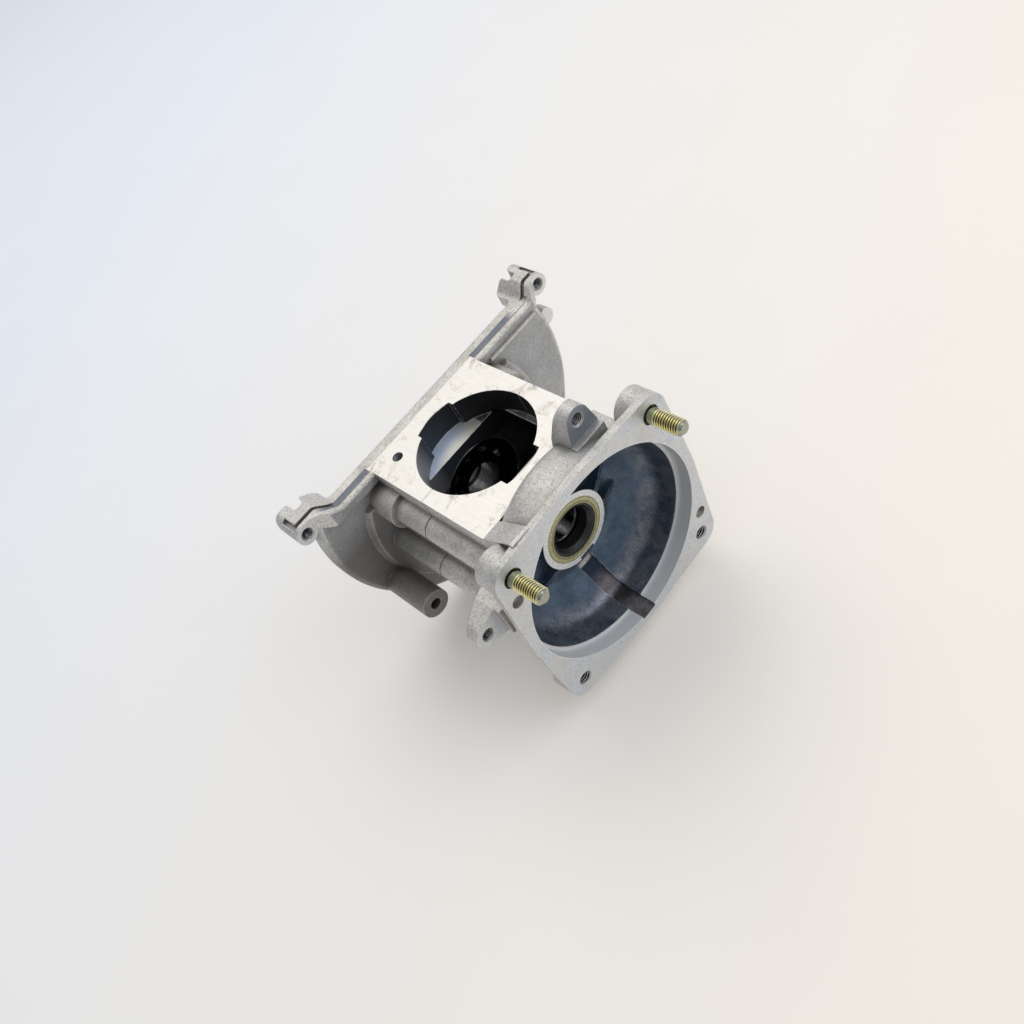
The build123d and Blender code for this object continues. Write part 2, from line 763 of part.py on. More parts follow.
def case_screw(x, z, seat_y):
    """Socket-head case screw from its seat to its tip in the clutch half."""
    tip_y = -screw_thread_length - m5_r
    shank = turned(
        (0.0, tip_y),
        (m5_r - thread_lead_in, tip_y),
        (m5_r, tip_y + thread_lead_in),
        (m5_r, seat_y),
        (screw_head_r, seat_y),
        (screw_head_r, seat_y + screw_head_height - thread_lead_in / 2),
        (screw_head_r - thread_lead_in / 2, seat_y + screw_head_height),
        (0.0, seat_y + screw_head_height),
    )
    head_end = seat_y + screw_head_height
    shank -= slab_y(RegularPolygon(screw_socket_r, 6), head_end - screw_socket_depth, head_end)
    return Pos(x, 0, z) * shank


def dowel_sleeve(x, z):
    """Hollow dowel round a case screw, across the parting plane."""
    half = dowel_length / 2
    return Pos(x, 0, z) * ring(SCREW_HOLE_R, dowel_outer_r, -half, half)


def build_nodes():
    """Every sub-part by its node name."""
    nodes = {
        "clutch_side_case": clutch_side_case(),
        "fan_side_case": fan_side_case(),
        "case_gasket": case_gasket(),
    }
    bearing = {
        "outer_ring": bearing_outer_ring(),
        "inner_ring": bearing_inner_ring(),
        "cage": bearing_cage(),
        "balls": bearing_balls(),
    }
    for name, start in (("front", FRONT_BEARING_Y), ("rear", REAR_BEARING_Y)):
        for piece, shape in bearing.items():
            nodes[name + "_bearing_" + piece] = Pos(0, start + bearing_width / 2, 0) * shape
    seal = {"case": seal_case(), "lip": seal_lip(), "spring": seal_spring()}
    outward = {
        "front": Pos(0, FRONT_SEAL_Y, 0),
        "rear": Pos(0, REAR_SEAL_Y + seal_width, 0) * Rot(180, 0, 0),
    }
    for name, place in outward.items():
        for piece, shape in seal.items():
            nodes[name + "_seal_" + piece] = place * shape
    nodes["stud_left"] = Pos(-CORNER, FLANGE_Y, CORNER) * stud()
    nodes["stud_right"] = Pos(CORNER, FLANGE_Y, CORNER) * stud()
    for name, (x, z, seat_y) in screw_places().items():
        nodes["case_screw_" + name] = case_screw(x, z, seat_y)
    for side, name in dowel_places().items():
        x, z, seat_y = screw_places()[name]
        nodes["dowel_sleeve_" + side] = dowel_sleeve(x, z)
    return nodes


def main():
    """Write one STEP file for each node."""
    os.makedirs("parts", exist_ok=True)
    for name, shape in build_nodes().items():
        export_step(shape, "parts/" + name + ".step")


if __name__ == "__main__":
    main()
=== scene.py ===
"""Looks, light and camera for the two-stroke crankcase, in the shared row frame, in metres."""
import json
from math import cos, pi, radians, sin
from types import SimpleNamespace

import bpy
from mathutils import Matrix, Vector

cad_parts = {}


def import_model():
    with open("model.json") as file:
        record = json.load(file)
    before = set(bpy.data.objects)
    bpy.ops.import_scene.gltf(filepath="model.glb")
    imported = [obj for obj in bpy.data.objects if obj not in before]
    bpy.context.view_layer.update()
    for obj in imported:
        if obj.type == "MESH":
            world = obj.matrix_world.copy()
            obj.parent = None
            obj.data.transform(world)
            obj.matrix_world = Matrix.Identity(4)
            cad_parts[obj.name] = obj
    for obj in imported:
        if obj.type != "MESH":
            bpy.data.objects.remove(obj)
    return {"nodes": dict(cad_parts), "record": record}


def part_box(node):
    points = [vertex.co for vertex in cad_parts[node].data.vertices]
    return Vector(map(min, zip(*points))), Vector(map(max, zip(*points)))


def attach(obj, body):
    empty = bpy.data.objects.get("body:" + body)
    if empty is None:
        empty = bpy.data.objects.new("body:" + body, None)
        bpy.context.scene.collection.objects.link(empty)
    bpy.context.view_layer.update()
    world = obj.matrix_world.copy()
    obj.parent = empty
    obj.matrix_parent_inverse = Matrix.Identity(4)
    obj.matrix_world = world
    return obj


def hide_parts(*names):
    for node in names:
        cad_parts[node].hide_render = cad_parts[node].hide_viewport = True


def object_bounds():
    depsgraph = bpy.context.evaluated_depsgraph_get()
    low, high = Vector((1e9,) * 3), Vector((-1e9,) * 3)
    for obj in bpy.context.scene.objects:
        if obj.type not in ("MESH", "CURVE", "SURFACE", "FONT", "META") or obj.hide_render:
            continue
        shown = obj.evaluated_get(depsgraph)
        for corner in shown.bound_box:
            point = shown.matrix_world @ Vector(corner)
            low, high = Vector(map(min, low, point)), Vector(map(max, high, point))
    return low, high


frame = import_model()
cad_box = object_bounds()

MM = 0.001

# Planes of the case along the crank axis, from the front
FLANGE_Y = -53 * MM
STEP_Y = -46.6 * MM
EAR_Y = -42.5 * MM
SEAL_FACE_Y = -33 * MM
BELL_FLOOR_Y = -27 * MM
PLATE_Y = 26 * MM
GROOVE_FRONT = 29.5 * MM
RIM_EAR_Y = 31 * MM
GROOVE_REAR = 32.6 * MM

# Rail's groove along the fan plate's rim: its foot, and where its painted shade fades in from a
# side
GROOVE_FOOT = 18 * MM
GROOVE_FADE = (54 * MM, 50 * MM)

# Bell, seal boss and drain channel, around the crank axis
REGISTER_R = 40 * MM
HOLLOW_R = 26 * MM
BOSS_R = 16 * MM
SEAL_R = 13 * MM
DRAIN_HALF = 3.6 * MM
DRAIN_TOP = -13.5 * MM
DRAIN_REACH = 3 * MM
TOP_EAR_Z = 36 * MM

# Cylinder deck, the throat under it and the crank chamber
DECK_Z = 33.2 * MM
DECK_BLEND = 0.5 * MM
DECK_FRONT = -32.2 * MM
DECK_REAR = 31.6 * MM
DECK_HALF = 29.1 * MM
THROAT_R = 33 * MM
THROAT_HALF = 27 * MM
THROAT_FLOOR = 12 * MM
LEDGE_Z = 22 * MM
LEDGE_SPREAD = 1.5 * MM
CHAMBER_R = 30 * MM
CHAMBER_HALF = 26 * MM

# How near counts as on a plane or on a round wall, and which slope counts as facing a way
NEAR = 0.12 * MM
NEAR_WALL = 0.3 * MM
SQUARE_ON = 0.97
TILTED = 0.3

# Ranges over which a tone comes in, from the place where it starts to where it is full.
# Radii for the bell's wall, the drain's inner end and the ledges' blue, else along an axis
BELL_WALL_FADE = (32 * MM, 36 * MM)
DRAIN_INNER_FADE = (36 * MM, 30 * MM)
THROAT_LIT_FADE = (-10 * MM, -21 * MM)
THROAT_DARK_FADE = (-8 * MM, 10 * MM)
LEDGE_BLUE_FADE = (17 * MM, 21.5 * MM)
LEDGE_OLIVE_FADE = (0.0, 9 * MM)
LEDGE_SHADE_X = 12 * MM
DECK_SIDE_FADE = (21 * MM, 28.5 * MM)
DECK_END_FADE = (23 * MM, 31 * MM)
DECK_BORE_FADE = (29 * MM, 23 * MM)
LEFT_LOW_SHADE_FADE_X = (-26 * MM, -42 * MM)
LEFT_LOW_SHADE_FADE_Y = (-6 * MM, 8 * MM)
LEFT_LOW_SHADE_FADE_Z = (26 * MM, 10 * MM)

# Radii in the seal's front face: its inner part with painted shade, the painted highlight line in
# it and its outer seam
SEAL_SHADE_FADE = (SEAL_R - 1.5 * MM, SEAL_R - 1.8 * MM)
SEAL_HIGHLIGHT_R = SEAL_R - 2.3 * MM
SEAL_HIGHLIGHT_HALF = 0.16 * MM
SEAL_SEAM_FADE = (SEAL_R - 0.32 * MM, SEAL_R - 0.12 * MM)

# Range that holds most of a noise's values, and the height of fine grain
MIDDLE = (0.3, 0.7)
FINE_GRAIN = 0.02 * MM

# Edges that light rounds off: as cast, machined, and the reach of painted shade in corners
CAST_EDGE = 0.6 * MM
CUT_EDGE = 0.18 * MM
CORNER_REACH = 5 * MM

# M6 studs and tapped holes of the flange, M5 tapped holes elsewhere
CORNER = 35 * MM
CORNERS = (("left", -CORNER), ("right", CORNER))
STUD_R = 3.0 * MM
STUD_ROOT_R = 2.42 * MM
STUD_NECK_R = 2.9 * MM
STUD_CHAMFER = 1.1 * MM
STUD_FADE = 0.8 * MM
STUD_COLLAR = 2.6 * MM
STUD_END = -13 * MM
STUD_SIDES = 56
STUD_ROWS = 420
STUD_ROOT_FADE = (2.9 * MM, 2.55 * MM)
M6_DRILL_R = 2.5 * MM
M6_PITCH = 1.0 * MM
M6_START = 0.6 * MM
M6_END = 9.3 * MM
M5_DRILL_R = 2.1 * MM
M5_PITCH = 0.8 * MM
M5_START = 0.02 * MM
TAPPED_DEPTH = 0.42
TAPPED_ROOT_FADE = (-0.32 * MM, -0.20 * MM)
TAPPED_DEEP_FADE = (0.6 * MM, 4.5 * MM)
TAPPED_GAP = 0.01 * MM
TAPPED_SIDES = 40
TAPPED_ROWS_A_TURN = 12

# Tones of the as-cast skin
CAST_LOW, CAST_HIGH = (0.56, 0.535, 0.505), (0.78, 0.75, 0.715)
CAST_SPARKLE = (0.96, 0.94, 0.90)
CAST_SPECK = (0.20, 0.19, 0.185)
CAST_COOL = (0.60, 0.64, 0.70)
CAST_STAIN = (0.27, 0.235, 0.20)
# Painted shade on the fan plate's front face
PLATE_SHADE = (0.28, 0.315, 0.375)
# Painted shade with a bluish painted reflection in the rail's groove
GROOVE_SHADE = (0.09, 0.12, 0.175)
# Painted shade, brownish, low on the left side of the case
LEFT_LOW_SHADE = (0.12, 0.105, 0.09)
# Painted shade in corners, dirt-brown
CORNER_SHADE = (0.14, 0.128, 0.115)
# Painted highlight along edges, partly real wear
EDGE_WEAR_AND_HIGHLIGHT = (0.88, 0.88, 0.87)

# Tones inside the bell, dark and bluish as painted shade and painted reflection, and in its drain
# channel
BELL_LOW, BELL_HIGH = (0.045, 0.075, 0.125), (0.13, 0.18, 0.25)
BELL_WALL = (0.34, 0.335, 0.36)
BELL_SPECK = (0.05, 0.055, 0.07)
BELL_SPARKLE = (0.50, 0.56, 0.64)
DRAIN_LOW, DRAIN_HIGH = (0.035, 0.035, 0.045), (0.26, 0.23, 0.24)
DRAIN_DARK_END = (0.018, 0.03, 0.055)

# Tones of the crank chamber, dark as painted shade, and of the throat's walls and its ledges,
# with painted light, painted reflections and painted shade
CHAMBER_LOW, CHAMBER_HIGH = (0.06, 0.06, 0.065), (0.17, 0.17, 0.17)
THROAT_LOW, THROAT_HIGH = (0.075, 0.09, 0.11), (0.62, 0.60, 0.63)
THROAT_DARK = (0.035, 0.035, 0.038)
LEDGE_CREAM, LEDGE_BLUE = (0.96, 0.92, 0.84), (0.52, 0.64, 0.84)
LEDGE_OLIVE = (0.24, 0.22, 0.13)
LEDGE_SHADE = (0.03, 0.03, 0.03)
LEDGE_PATCH = (0.55, 0.53, 0.52)

# Tones of the milled and turned faces
DECK_LOW, DECK_HIGH = (0.79, 0.77, 0.73), (0.85, 0.83, 0.79)
DECK_DIRT = (0.34, 0.30, 0.25)
FLANGE_LOW, FLANGE_HIGH = (0.56, 0.60, 0.66), (0.76, 0.785, 0.825)
FLANGE_WARM = (0.72, 0.68, 0.615)
FLANGE_DIRT = (0.36, 0.37, 0.38)
# Painted shade with a bluish painted reflection on the upper ear's face
TOP_EAR_SHADE = (0.20, 0.24, 0.30)
LATHE_LOW, LATHE_HIGH = (0.70, 0.71, 0.73), (0.88, 0.885, 0.89)

# Tones of the seals, the gasket, the studs and the tapped holes
RUBBER, RUBBER_DUST = (0.012, 0.012, 0.013), (0.09, 0.088, 0.085)
OLIVE_LOW, OLIVE_HIGH = (0.36, 0.35, 0.17), (0.56, 0.55, 0.33)
# Painted shade on the seal case's inner part
OLIVE_INNER_SHADE = (0.09, 0.085, 0.04)
OLIVE_SEAM = (0.03, 0.03, 0.025)
PAPER_LOW, PAPER_HIGH = (0.05, 0.05, 0.045), (0.14, 0.135, 0.12)
PAPER_SMEARED, PAPER_DIRT = (0.78, 0.77, 0.745), (0.30, 0.27, 0.23)
ZINC_LOW, ZINC_HIGH = (0.78, 0.68, 0.30), (0.92, 0.87, 0.56)
ZINC_GREEN = (0.60, 0.66, 0.52)
ZINC_COLLAR = (0.40, 0.42, 0.27)
# Painted shade in the roots of the studs' and holes' threads
ZINC_ROOT_SHADE = (0.05, 0.045, 0.02)
ZINC_END = (0.50, 0.52, 0.46)
TAPPED_LOW, TAPPED_HIGH = (0.50, 0.51, 0.53), (0.78, 0.79, 0.81)
TAPPED_SHADE = (0.02, 0.02, 0.024)

# Plain metals by slot: material name, its two tones, its roughness and its grain's height
METALS = {
    # The bearing ring's tones are darkened as painted shade, since it is seen only through the
    # seal
    "bearing_steel": ("bearing_ring_steel",
                      (0.045, 0.043, 0.045), (0.11, 0.108, 0.11), 0.24, FINE_GRAIN),
    "cage_steel": ("cage_pressed_steel",
                   (0.05, 0.05, 0.055), (0.13, 0.13, 0.135), 0.32, FINE_GRAIN),
    "ball_steel": ("ball_polished_steel",
                   (0.20, 0.205, 0.215), (0.30, 0.31, 0.32), 0.12, 0.004 * MM),
    "spring_steel": ("garter_spring_steel",
                     (0.40, 0.40, 0.41), (0.55, 0.55, 0.56), 0.3, FINE_GRAIN),
    "screw_steel": ("case_screw_zinc",
                    (0.50, 0.51, 0.53), (0.66, 0.67, 0.69), 0.32, FINE_GRAIN),
    "dowel_steel": ("dowel_ground_steel",
                    (0.50, 0.50, 0.52), (0.62, 0.62, 0.63), 0.25, FINE_GRAIN),
}

# Table top: its warm and its cool tone, the direction and range from one to the other, its
# mottling, and how much it is lifted towards white
TABLE_WARM, TABLE_COOL = (0.95, 0.895, 0.82), (0.81, 0.85, 0.93)
TABLE_AWAY = (-0.35, 0.9, 0.0)
TABLE_FADE = (-0.15, 0.45)
TABLE_MOTTLE = (0.72, 0.71, 0.69)
TABLE_LIFT = 0.14
TABLE_HALF = 4.0

# Surround: where it is brightest, its colours, its strength, and the strength the camera sees
SKY_BRIGHTEST = (0.57, 0.08, 0.82)
SKY_COOL, SKY_WARM = (0.82, 0.90, 1.0), (1.0, 0.98, 0.95)
SKY_DIM, SKY_BRIGHT = 0.16, 0.80
SKY_FADE = (-0.6, 1.0)
BACKDROP = 0.86

# Soft lamps: name, place, edge length, power in watts and colour
LAMPS = (
    ("key", (0.28, 0.62, 1.0), 0.9, 3.0, (1.0, 0.97, 0.92)),
    ("window", (0.50, -0.55, 0.75), 0.7, 1.7, (0.80, 0.90, 1.0)),
)

# Camera fitted to the object's own edges in the photo: place in millimetres, its right side
# and its back as directions, focal length and picture width in pixels
CAMERA_PLACE = (-92.05, -237.21, 272.88)
CAMERA_RIGHT = (0.63408, -0.67704, -0.37357)
CAMERA_BACK = (-0.23489, -0.62892, 0.74114)
FOCAL_PIXELS = 1000.0
PICTURE_PIXELS = 1024.0
SENSOR_MM = 36.0
NEAREST_SEEN, FARTHEST_SEEN = 0.01, 20.0


def of_kind(sockets, kind):
    """Sockets of one type, since a Mix node holds a set for each type."""
    return [socket for socket in sockets if socket.type == kind]


class Graph:
    """Shader nodes of one material or world, added by short calls that return a socket."""

    def __init__(self, owner):
        self.owner = owner
        owner.use_nodes = True
        self.tree = owner.node_tree
        self.tree.nodes.clear()
        self.coordinates = self.add("TexCoord").outputs
        self.place = self.coordinates["Object"]

    def add(self, kind, **settings):
        node = self.tree.nodes.new("ShaderNode" + kind)
        for key, value in settings.items():
            setattr(node, key, value)
        return node

    def put(self, socket, value):
        """Link a socket, or set it to a number, a vector or a colour without its alpha."""
        if isinstance(value, bpy.types.NodeSocket):
            self.tree.links.new(value, socket)
        elif socket.type == "RGBA":
            socket.default_value = (*value, 1.0)
        else:
            socket.default_value = value

    def filled(self, node, *values):
        """Node with its first sockets filled in order."""
        for socket, value in zip(node.inputs, values):
            self.put(socket, value)
        return node

    def math(self, operation, *values):
        return self.filled(self.add("Math", operation=operation), *values).outputs[0]

    def chain(self, operation, values):
        result = values[0]
        for value in values[1:]:
            result = self.math(operation, result, value)
        return result

    def plus(self, *values):
        return self.chain("ADD", values)

    def times(self, *values):
        return self.chain("MULTIPLY", values)

    def largest(self, *values):
        return self.chain("MAXIMUM", values)

    def absolute(self, value):
        return self.math("ABSOLUTE", value)

    def outside(self, mask):
        return self.math("SUBTRACT", 1.0, mask)

    def over(self, value, limit):
        return self.math("GREATER_THAN", value, limit)

    def under(self, value, limit):
        return self.math("LESS_THAN", value, limit)

    def at(self, value, target, spread=NEAR):
        return self.math("COMPARE", value, target, spread)

    def between(self, value, low, high):
        return self.times(self.over(value, low), self.under(value, high))

    def ramp(self, value, low, high, start=0.0, end=1.0):
        """Rise from start at low to end at high, level beyond both."""
        node = self.add("MapRange", clamp=True)
        return self.filled(node, value, low, high, start, end).outputs[0]

    def noise(self, scale, detail, roughness, where=None, distortion=0.0):
        node = self.add("TexNoise")
        self.put(node.inputs["Vector"], where or self.place)
        self.put(node.inputs["Scale"], scale)
        self.put(node.inputs["Detail"], detail)
        self.put(node.inputs["Roughness"], roughness)
        self.put(node.inputs["Distortion"], distortion)
        return node.outputs[0]

    def xyz(self, vector):
        return self.filled(self.add("SeparateXYZ"), vector).outputs

    def vector(self, x, y, z):
        return self.filled(self.add("CombineXYZ"), x, y, z).outputs[0]

    def stretched(self, x, y, z):
        """Place on the object, scaled along each axis."""
        node = self.add("Mapping")
        self.put(node.inputs["Vector"], self.place)
        self.put(node.inputs["Scale"], (x, y, z))
        return node.outputs[0]

    def length(self, a, b):
        return self.math("SQRT", self.plus(self.times(a, a), self.times(b, b)))

    def dot(self, a, b):
        return self.filled(self.add("VectorMath", operation="DOT_PRODUCT"), a, b).outputs["Value"]

    def mix(self, kind, factor, a, b):
        node = self.add("Mix", data_type=kind)
        self.put(node.inputs["Factor"], factor)
        for socket, value in zip(of_kind(node.inputs, kind)[-2:], (a, b)):
            self.put(socket, value)
        return of_kind(node.outputs, kind)[0]

    def blend(self, factor, a, b):
        return self.mix("RGBA", factor, a, b)

    def paint(self, base, tint, mask, share=None):
        """Tint laid over a base colour where the mask is 1, thinned to a share of it."""
        return self.blend(mask if share is None else self.times(mask, share), base, tint)

    def bump(self, height, distance, strength, normal=None):
        node = self.add("Bump")
        self.put(node.inputs["Height"], height)
        self.put(node.inputs["Distance"], distance)
        self.put(node.inputs["Strength"], strength)
        if normal is not None:
            self.put(node.inputs["Normal"], normal)
        return node.outputs[0]

    def softened(self, radius, samples):
        """Normal of the surface with its edges rounded."""
        node = self.add("Bevel", samples=samples)
        self.put(node.inputs["Radius"], radius)
        return node.outputs[0]

    def openness(self, distance):
        """1 where nothing stands near the surface, towards 0 in corners."""
        node = self.add("AmbientOcclusion", samples=6)
        self.put(node.inputs["Distance"], distance)
        return node.outputs["AO"]

    def finish(self, colour, roughness, normal=None, metallic=1.0, glow=None):
        """Close a material's graph and return the material."""
        shader = self.add("BsdfPrincipled")
        self.put(shader.inputs["Base Color"], colour)
        self.put(shader.inputs["Roughness"], roughness)
        self.put(shader.inputs["Metallic"], metallic)
        if normal is not None:
            self.put(shader.inputs["Normal"], normal)
        if glow is not None:
            self.put(shader.inputs["Emission Color"], colour)
            self.put(shader.inputs["Emission Strength"], glow)
        self.filled(self.add("OutputMaterial"), shader.outputs[0])
        return self.owner


def material_graph(name):
    return Graph(bpy.data.materials.new(name))


def case_regions(g):
    """Masks that tell the case's faces apart by where they lie and which way they face."""
    x, y, z = g.xyz(g.place)
    true_normal = g.add("NewGeometry").outputs["True Normal"]
    normal = g.xyz(true_normal)
    forward = g.under(normal[1], -SQUARE_ON)
    upward = g.over(normal[2], SQUARE_ON)
    radius = g.length(x, z)
    bore_r = g.length(x, y)
    side = g.absolute(x)

    deck = g.times(upward, g.between(z, DECK_Z - NEAR, DECK_Z + DECK_BLEND),
                   g.between(y, DECK_FRONT, DECK_REAR), g.under(side, DECK_HALF))
    flange = g.times(forward, g.at(y, FLANGE_Y))
    ear_face = g.times(forward, g.at(y, EAR_Y))
    step = g.times(forward, g.at(y, STEP_Y), g.under(radius, REGISTER_R))
    register = g.times(g.at(radius, REGISTER_R, NEAR_WALL), g.under(y, STEP_Y))
    seal_face = g.times(forward, g.at(y, SEAL_FACE_Y), g.under(radius, BOSS_R))
    rim_ear_face = g.times(forward, g.at(y, RIM_EAR_Y))
    turned = g.largest(step, register, seal_face, rim_ear_face)
    milled = g.largest(deck, flange, ear_face)

    outward = g.plus(g.times(normal[0], x), g.times(normal[2], z))
    hollow = g.largest(g.under(outward, g.times(radius, TILTED)), g.under(radius, HOLLOW_R))
    bell = g.times(g.under(radius, REGISTER_R - NEAR_WALL),
                   g.between(y, STEP_Y, BELL_FLOOR_Y + NEAR), hollow)
    drain = g.times(g.under(side, DRAIN_HALF), g.under(z, DRAIN_TOP),
                    g.under(radius, REGISTER_R + DRAIN_REACH),
                    g.between(y, FLANGE_Y + NEAR, BELL_FLOOR_Y + NEAR))

    throat = g.times(g.under(bore_r, THROAT_R), g.between(z, THROAT_FLOOR, DECK_Z - NEAR),
                     g.under(side, THROAT_HALF), g.under(g.absolute(y), THROAT_HALF))
    ledge = g.times(throat, upward, g.at(z, LEDGE_Z, LEDGE_SPREAD))
    chamber = g.times(g.under(radius, CHAMBER_R + NEAR_WALL),
                      g.between(y, -CHAMBER_HALF, CHAMBER_HALF),
                      g.under(z, DECK_Z - NEAR), g.outside(throat))

    rear_plate = g.times(forward, g.between(y, PLATE_Y, RIM_EAR_Y))
    groove_floor = g.times(forward, g.over(y, GROOVE_REAR - 3 * NEAR))
    groove = g.times(g.between(y, GROOVE_FRONT, GROOVE_REAR + NEAR),
                     g.largest(g.over(normal[2], TILTED), groove_floor), g.over(z, GROOVE_FOOT),
                     g.ramp(side, *GROOVE_FADE), g.over(side, DECK_HALF + NEAR))
    # Where painted shade darkens the case low on its left side
    left_low_shade = g.times(g.ramp(x, *LEFT_LOW_SHADE_FADE_X), g.ramp(y, *LEFT_LOW_SHADE_FADE_Y),
                        g.ramp(z, *LEFT_LOW_SHADE_FADE_Z))
    return SimpleNamespace(
        x=x, y=y, z=z, radius=radius, bore_r=bore_r, side=side, true_normal=true_normal,
        deck=deck, flange=flange, ear_face=ear_face, register=register,
        turned=turned, milled=milled, machined=g.largest(milled, turned),
        bell=bell, drain=drain, throat=throat, ledge=ledge, chamber=chamber,
        rear_plate=rear_plate, groove=groove, left_low_shade=left_low_shade)


def case_patterns(g, on):
    """Noises that more than one part of the case's finish draws on."""
    turns = g.vector(g.times(on.radius, 1500), g.times(on.y, 1500), 0.0)
    return SimpleNamespace(
        grain=g.noise(2400, 5, 0.75),
        speckle=g.ramp(g.noise(1250, 3, 0.8), 0.50, 0.64),
        sparkle=g.ramp(g.noise(1350, 3, 0.8, where=g.stretched(1, 1.3, 0.8)), 0.54, 0.66),
        patches=g.noise(95, 5, 0.65),
        lines=g.noise(1.0, 3, 0.6, where=g.stretched(1500, 70, 900)),
        lathe=g.noise(1.0, 2, 0.5, where=turns),
        dirt=g.ramp(g.noise(170, 8, 0.75, distortion=0.5), 0.54, 0.66))


def cast_skin(g, on, pattern, corners):
    """Pale grey with fine dark and bright speckle, tone patches, stains, and painted shade on the
    fan plate, in the rail's groove, low on the left and in corners.
    """
    skin = g.blend(g.ramp(pattern.patches, 0.35, 0.66), CAST_LOW, CAST_HIGH)
    skin = g.paint(skin, CAST_SPARKLE, pattern.sparkle, 0.75)
    skin = g.paint(skin, CAST_SPECK, pattern.speckle, 0.55)
    skin = g.paint(skin, CAST_COOL, g.ramp(g.noise(26, 3, 0.5), 0.45, 0.75, end=0.35))
    stain = g.noise(48, 6, 0.7, distortion=0.8)
    skin = g.paint(skin, CAST_STAIN, g.ramp(stain, 0.58, 0.70, end=0.55))
    # Painted shade on the fan plate's front face
    skin = g.paint(skin, PLATE_SHADE, on.rear_plate, 0.50)
    # Painted shade with a bluish painted reflection in the rail's groove
    skin = g.paint(skin, GROOVE_SHADE, on.groove, 0.8)
    # Painted shade low on the left side of the case
    skin = g.paint(skin, LEFT_LOW_SHADE, on.left_low_shade, 0.70)
    # Painted shade in corners, dirt-brown
    return g.paint(skin, CORNER_SHADE, corners, 0.80)


def bell_skin(g, on, pattern):
    """Smoother, dark and bluish as painted shade and painted reflection, less dark in patches
    towards its round wall.
    """
    wall = g.ramp(on.radius, *BELL_WALL_FADE)
    skin = g.blend(g.ramp(pattern.patches, *MIDDLE), BELL_LOW, BELL_HIGH)
    pale = g.times(wall, g.ramp(g.noise(150, 5, 0.7), 0.38, 0.62))
    skin = g.paint(skin, BELL_WALL, pale, 0.7)
    skin = g.paint(skin, BELL_SPECK, g.times(pattern.speckle, wall), 0.6)
    return g.paint(skin, BELL_SPARKLE, pattern.sparkle, 0.12)


def throat_skin(g, on):
    """Light on the left, where the wall catches the lamp, and dark on the right."""
    skin = g.blend(g.ramp(on.x, *THROAT_LIT_FADE), THROAT_LOW, THROAT_HIGH)
    return g.paint(skin, THROAT_DARK, g.ramp(on.x, *THROAT_DARK_FADE))


def ledge_skin(g, on, pattern):
    """Bright painted reflections from cream to blue on the left, olive and dark painted shade on
    the right.
    """
    skin = g.blend(g.ramp(on.bore_r, *LEDGE_BLUE_FADE), LEDGE_CREAM, LEDGE_BLUE)
    skin = g.paint(skin, LEDGE_OLIVE, g.ramp(on.x, *LEDGE_OLIVE_FADE, end=0.8))
    # Painted shade on the ledge's right part
    skin = g.paint(skin, LEDGE_SHADE, g.over(on.x, LEDGE_SHADE_X))
    return g.paint(skin, LEDGE_PATCH, g.ramp(pattern.patches, 0.35, 0.7, end=0.4))


def deck_skin(g, on, pattern):
    """Nearly white, with faint cutter lines, and dirt that gathers towards the edges."""
    near_edge = g.largest(g.ramp(on.side, *DECK_SIDE_FADE),
                          g.ramp(g.absolute(on.y), *DECK_END_FADE),
                          g.ramp(on.bore_r, *DECK_BORE_FADE))
    skin = g.blend(g.ramp(pattern.lines, *MIDDLE), DECK_LOW, DECK_HIGH)
    gathered = g.ramp(near_edge, 0.0, 1.0, start=0.10, end=0.8)
    return g.paint(skin, DECK_DIRT, g.times(pattern.dirt, gathered))


def flange_skin(g, on, pattern):
    """Cool grey cutter lines with warm patches, and painted shade on the upper ear."""
    skin = g.blend(g.ramp(pattern.lines, *MIDDLE), FLANGE_LOW, FLANGE_HIGH)
    skin = g.paint(skin, FLANGE_WARM, g.ramp(pattern.patches, 0.42, 0.60, end=0.5))
    top_ear = g.times(on.ear_face, g.over(on.z, TOP_EAR_Z))
    # Painted shade on the upper ear's face
    skin = g.paint(skin, TOP_EAR_SHADE, top_ear, 0.75)
    return g.paint(skin, FLANGE_DIRT, pattern.dirt, 0.28)


def drain_skin(g, on, pattern):
    """Dark channel, darkest at its inner end."""
    skin = g.blend(g.ramp(pattern.patches, 0.4, 0.62), DRAIN_LOW, DRAIN_HIGH)
    return g.paint(skin, DRAIN_DARK_END, g.ramp(on.radius, *DRAIN_INNER_FADE))


